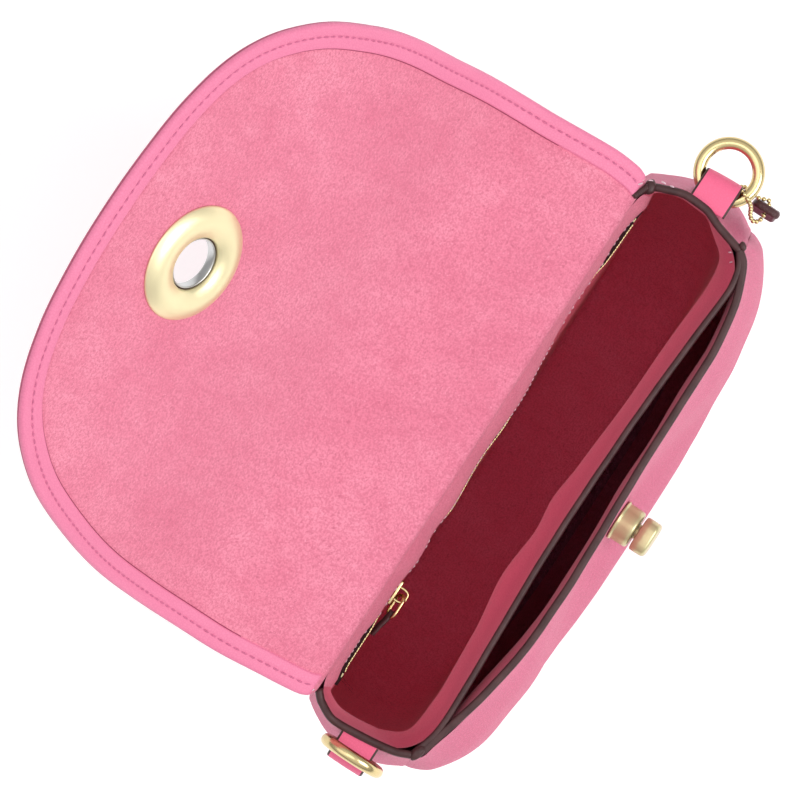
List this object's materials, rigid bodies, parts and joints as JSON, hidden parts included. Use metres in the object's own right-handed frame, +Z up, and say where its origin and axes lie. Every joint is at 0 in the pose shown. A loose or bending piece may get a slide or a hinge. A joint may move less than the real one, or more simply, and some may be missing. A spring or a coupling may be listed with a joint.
{
  "type": "crossbody purse",
  "caption": "Small saddle-shaped leather purse with a round-ended flap, eyelet and turn knob, front slip pocket, inside zip pocket and a metal ring at each end.",
  "frame": {"origin": "centre of the flat base", "axes": "+X along the bag's length, -Y the front with the knob, +Z up"},
  "size_m": [0.2406, 0.1953, 0.2992],
  "materials": {
    "outer_leather": "satin",
    "suede": "matte",
    "lining": "matte",
    "dark_leather": "satin",
    "zip_tape": "matte",
    "gold": "satin",
    "steel": "satin",
    "magnet": "satin",
    "board": "matte"
  },
  "bodies": {
    "bag": {"gusset": "outer_leather", "gusset_lining": "lining", "base_board": "board", "back_panel": "outer_leather", "back_lining": "lining", "zip_tape_upper": "zip_tape", "zip_tape_lower": "zip_tape", "zip_teeth": "gold", "zip_stops": "gold", "zip_pocket_bag": "lining", "divider_panel": "outer_leather", "divider_lining": "lining", "front_panel": "outer_leather", "front_lining": "lining", "knob_base": "gold", "knob_magnet": "magnet", "knob_washer": "steel", "tab_right": "outer_leather", "tab_left": "outer_leather"},
    "flap_top": {"flap_top_leather": "outer_leather", "flap_top_lining": "suede", "flap_top_binding": "outer_leather"},
    "flap_front": {"flap_front_leather": "outer_leather", "flap_front_lining": "suede", "flap_front_binding": "outer_leather", "eyelet_inner_disc": "gold", "eyelet_outer_disc": "gold", "eyelet_sleeve": "steel"},
    "turn_head": {"knob_head": "gold"},
    "right_ring": {"ring_right": "gold"},
    "left_ring": {"ring_left": "gold"},
    "chain": {"ball_chain": "gold"},
    "tag": {"hang_tag": "dark_leather"},
    "slider": {"zip_slider": "gold"},
    "pull": {"zip_pull_link": "gold", "zip_pull_tab": "dark_leather"}
  },
  "joints": [
    {"name": "flap_hinge", "type": "hinge", "parent": "bag", "child": "flap_top", "pos_m": [0, 0.019, 0.1705], "axis": [1, 0, 0], "range_deg": [-40, 160]},
    {"name": "flap_fold", "type": "hinge", "parent": "flap_top", "child": "flap_front", "pos_m": [0, 0.06974, 0.18897], "axis": [1, 0, 0], "range_deg": [-10, 48.4]},
    {"name": "knob_turn", "type": "hinge", "parent": "bag", "child": "turn_head", "pos_m": [0, -0.04332, 0.08561], "axis": [0, -0.9952, 0.0976], "range_deg": [0, 90]},
    {"name": "right_ring_swing", "type": "hinge", "parent": "bag", "child": "right_ring", "pos_m": [0.1073, -0.003, 0.161], "axis": [0, -1, 0], "range_deg": [-5, 90]},
    {"name": "left_ring_swing", "type": "hinge", "parent": "bag", "child": "left_ring", "pos_m": [-0.1073, -0.003, 0.161], "axis": [0, -1, 0], "range_deg": [-10, 150]},
    {"name": "chain_swing", "type": "hinge", "parent": "right_ring", "child": "chain", "pos_m": [0.11341, -0.01274, 0.161], "axis": [0.9744, -0.225, 0], "range_deg": [-6, 6]},
    {"name": "tag_swing", "type": "hinge", "parent": "chain", "child": "tag", "pos_m": [0.1124, -0.0204, 0.1506], "axis": [0, 1, 0], "range_deg": [-14, 0]},
    {"name": "zip_slide", "type": "slide", "parent": "bag", "child": "slider", "axis": [1, 0, 0], "range_m": [-0.025, 0.138]},
    {"name": "pull_swing", "type": "hinge", "parent": "slider", "child": "pull", "pos_m": [-0.05765, 0.00905, 0.143], "axis": [0, -0.5, 0.866], "range_deg": [0, 120]}
  ]
}
